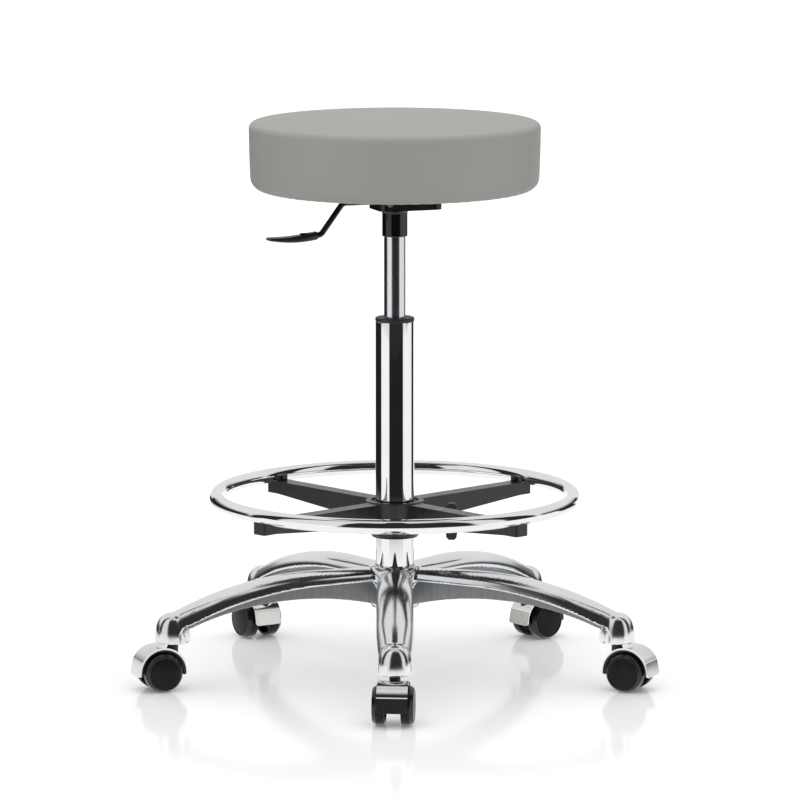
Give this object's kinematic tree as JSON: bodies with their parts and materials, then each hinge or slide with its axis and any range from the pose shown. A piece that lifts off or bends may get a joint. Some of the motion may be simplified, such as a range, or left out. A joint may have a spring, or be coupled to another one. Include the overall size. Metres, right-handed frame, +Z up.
{
  "type": "swivel stool",
  "caption": "Height-adjustable swivel stool: round padded seat on a gas lift, footring clamped to the column, five-star cast base on hooded casters.",
  "frame": {"origin": "on the column's axis at floor level", "axes": "+Z up along the column, -Y towards the leg in front, +X to the right of the picture"},
  "size_m": [0.6795, 0.6486, 0.7281],
  "materials": {
    "polished_aluminium": "mirror-polished die casting outside, as cast below",
    "chrome": "bright chrome plate",
    "bright_metal": "bright plated pressing",
    "steel": "zinc-plated or ground steel",
    "black_steel": "black powder coat",
    "black_nylon": "fine-textured black nylon",
    "wheel_nylon": "moulded black nylon",
    "black_rubber": "black rubber",
    "brass": "machined brass",
    "vinyl": "warm grey vinyl, faintly grained",
    "foam": "open-cell moulded foam",
    "lining": "black spunbond lining",
    "plywood": "plywood"
  },
  "bodies": {
    "base": {"base_casting": "polished_aluminium", "caster_stems": "steel", "column_tube": "chrome", "guide_bush": "black_nylon", "bearing_washer_lower": "steel"},
    "lift_bearing": {"bearing_cage": "steel"},
    "lift_rod": {"bearing_washer_upper": "steel", "rubber_bumper": "black_rubber", "piston_rod": "steel", "piston": "brass", "rod_clip": "steel"},
    "seat": {"gas_cylinder": "chrome", "rod_guide": "brass", "rod_seal": "black_rubber", "valve_block": "brass", "lift_socket": "black_steel", "mechanism_pan": "black_steel", "mount_plate": "black_steel", "lever_pivot_pin": "steel", "seat_bolts": "steel", "t_nuts": "steel", "seat_board": "plywood", "seat_foam": "foam", "seat_cover": "vinyl", "dust_cover": "lining"},
    "lever": {"lever_rod": "black_steel", "lever_paddle": "black_nylon"},
    "release_pin": {"release_pin": "steel"},
    "footring_slider": {"footring_liner": "black_nylon"},
    "footring": {"footring_spider": "black_nylon", "footring_tube": "chrome", "footring_screws": "steel"},
    "clamp_pad": {"clamp_pad": "brass"},
    "clamp_knob": {"clamp_stud": "steel", "clamp_knob": "black_nylon"},
    "caster_1": {"caster_1_body": "black_nylon", "caster_1_hood": "bright_metal", "caster_1_axle": "steel"},
    "caster_1_wheel_left": {"caster_1_wheel_left": "wheel_nylon"},
    "caster_1_wheel_right": {"caster_1_wheel_right": "wheel_nylon"},
    "caster_2": {"caster_2_body": "black_nylon", "caster_2_hood": "bright_metal", "caster_2_axle": "steel"},
    "caster_2_wheel_left": {"caster_2_wheel_left": "wheel_nylon"},
    "caster_2_wheel_right": {"caster_2_wheel_right": "wheel_nylon"},
    "caster_3": {"caster_3_body": "black_nylon", "caster_3_hood": "bright_metal", "caster_3_axle": "steel"},
    "caster_3_wheel_left": {"caster_3_wheel_left": "wheel_nylon"},
    "caster_3_wheel_right": {"caster_3_wheel_right": "wheel_nylon"},
    "caster_4": {"caster_4_body": "black_nylon", "caster_4_hood": "bright_metal", "caster_4_axle": "steel"},
    "caster_4_wheel_left": {"caster_4_wheel_left": "wheel_nylon"},
    "caster_4_wheel_right": {"caster_4_wheel_right": "wheel_nylon"},
    "caster_5": {"caster_5_body": "black_nylon", "caster_5_hood": "bright_metal", "caster_5_axle": "steel"},
    "caster_5_wheel_left": {"caster_5_wheel_left": "wheel_nylon"},
    "caster_5_wheel_right": {"caster_5_wheel_right": "wheel_nylon"}
  },
  "joints": [
    {"name": "seat_swivel", "type": "hinge", "parent": "base", "child": "lift_rod", "pos_m": [0, 0, 0.3], "axis": [0, 0, 1], "continuous": true},
    {"name": "bearing_spin", "type": "hinge", "parent": "base", "child": "lift_bearing", "pos_m": [0, 0, 0.09], "axis": [0, 0, 1], "continuous": true},
    {"name": "seat_height", "type": "slide", "parent": "lift_rod", "child": "seat", "axis": [0, 0, 1], "range_m": [-0.095, 0.16]},
    {"name": "lever_lift", "type": "hinge", "parent": "seat", "child": "lever", "pos_m": [-0.01597, -0.00581, 0.61995], "axis": [-0.342, 0.9397, 0], "range_deg": [0, 8], "stiffness_Nm_per_rad": 1.5},
    {"name": "release_push", "type": "slide", "parent": "seat", "child": "release_pin", "axis": [0, 0, -1], "range_m": [0, 0.003]},
    {"name": "footring_slide", "type": "slide", "parent": "base", "child": "footring_slider", "axis": [0, 0, 1], "range_m": [-0.036, 0.225]},
    {"name": "footring_turn", "type": "hinge", "parent": "footring_slider", "child": "footring", "pos_m": [0, 0, 0.205], "axis": [0, 0, 1], "continuous": true},
    {"name": "clamp_release", "type": "slide", "parent": "footring", "child": "clamp_pad", "axis": [0.9994, -0.0349, 0], "range_m": [0, 0.0025]},
    {"name": "knob_turn", "type": "hinge", "parent": "clamp_pad", "child": "clamp_knob", "pos_m": [0.05996, -0.00209, 0.2026], "axis": [0.9994, -0.0349, 0], "range_deg": [0, 720]},
    {"name": "caster_1_swivel", "type": "hinge", "parent": "base", "child": "caster_1", "pos_m": [0, -0.3, 0.06], "axis": [0, 0, 1], "continuous": true},
    {"name": "caster_1_left_roll", "type": "hinge", "parent": "caster_1", "child": "caster_1_wheel_left", "pos_m": [-0.00162, -0.31853, 0.025], "axis": [0.9962, -0.0872, 0], "continuous": true},
    {"name": "caster_1_right_roll", "type": "hinge", "parent": "caster_1", "child": "caster_1_wheel_right", "pos_m": [-0.00162, -0.31853, 0.025], "axis": [0.9962, -0.0872, 0], "continuous": true},
    {"name": "caster_2_swivel", "type": "hinge", "parent": "base", "child": "caster_2", "pos_m": [0.28532, -0.0927, 0.06], "axis": [0, 0, 1], "continuous": true},
    {"name": "caster_2_left_roll", "type": "hinge", "parent": "caster_2", "child": "caster_2_wheel_left", "pos_m": [0.30217, -0.10057, 0.025], "axis": [0.4226, 0.9063, 0], "continuous": true},
    {"name": "caster_2_right_roll", "type": "hinge", "parent": "caster_2", "child": "caster_2_wheel_right", "pos_m": [0.30217, -0.10057, 0.025], "axis": [0.4226, 0.9063, 0], "continuous": true},
    {"name": "caster_3_swivel", "type": "hinge", "parent": "base", "child": "caster_3", "pos_m": [0.17634, 0.24271, 0.06], "axis": [0, 0, 1], "continuous": true},
    {"name": "caster_3_left_roll", "type": "hinge", "parent": "caster_3", "child": "caster_3_wheel_left", "pos_m": [0.19099, 0.25416, 0.025], "axis": [-0.6157, 0.788, 0], "continuous": true},
    {"name": "caster_3_right_roll", "type": "hinge", "parent": "caster_3", "child": "caster_3_wheel_right", "pos_m": [0.19099, 0.25416, 0.025], "axis": [-0.6157, 0.788, 0], "continuous": true},
    {"name": "caster_4_swivel", "type": "hinge", "parent": "base", "child": "caster_4", "pos_m": [-0.17634, 0.24271, 0.06], "axis": [0, 0, 1], "continuous": true},
    {"name": "caster_4_left_roll", "type": "hinge", "parent": "caster_4", "child": "caster_4_wheel_left", "pos_m": [-0.18619, 0.25848, 0.025], "axis": [-0.848, -0.5299, 0], "continuous": true},
    {"name": "caster_4_right_roll", "type": "hinge", "parent": "caster_4", "child": "caster_4_wheel_right", "pos_m": [-0.18619, 0.25848, 0.025], "axis": [-0.848, -0.5299, 0], "continuous": true},
    {"name": "caster_5_swivel", "type": "hinge", "parent": "base", "child": "caster_5", "pos_m": [-0.28532, -0.0927, 0.06], "axis": [0, 0, 1], "continuous": true},
    {"name": "caster_5_left_roll", "type": "hinge", "parent": "caster_5", "child": "caster_5_wheel_left", "pos_m": [-0.30268, -0.09937, 0.025], "axis": [0.3584, -0.9336, 0], "continuous": true},
    {"name": "caster_5_right_roll", "type": "hinge", "parent": "caster_5", "child": "caster_5_wheel_right", "pos_m": [-0.30268, -0.09937, 0.025], "axis": [0.3584, -0.9336, 0], "continuous": true}
  ],
  "couplings": [
    {"joint": "bearing_spin", "follows": "seat_swivel", "ratio": 0.5},
    {"joint": "release_push", "follows": "lever_lift", "m_per_rad": 0.02},
    {"joint": "knob_turn", "follows": "clamp_release", "rad_per_m": 5026.5}
  ]
}
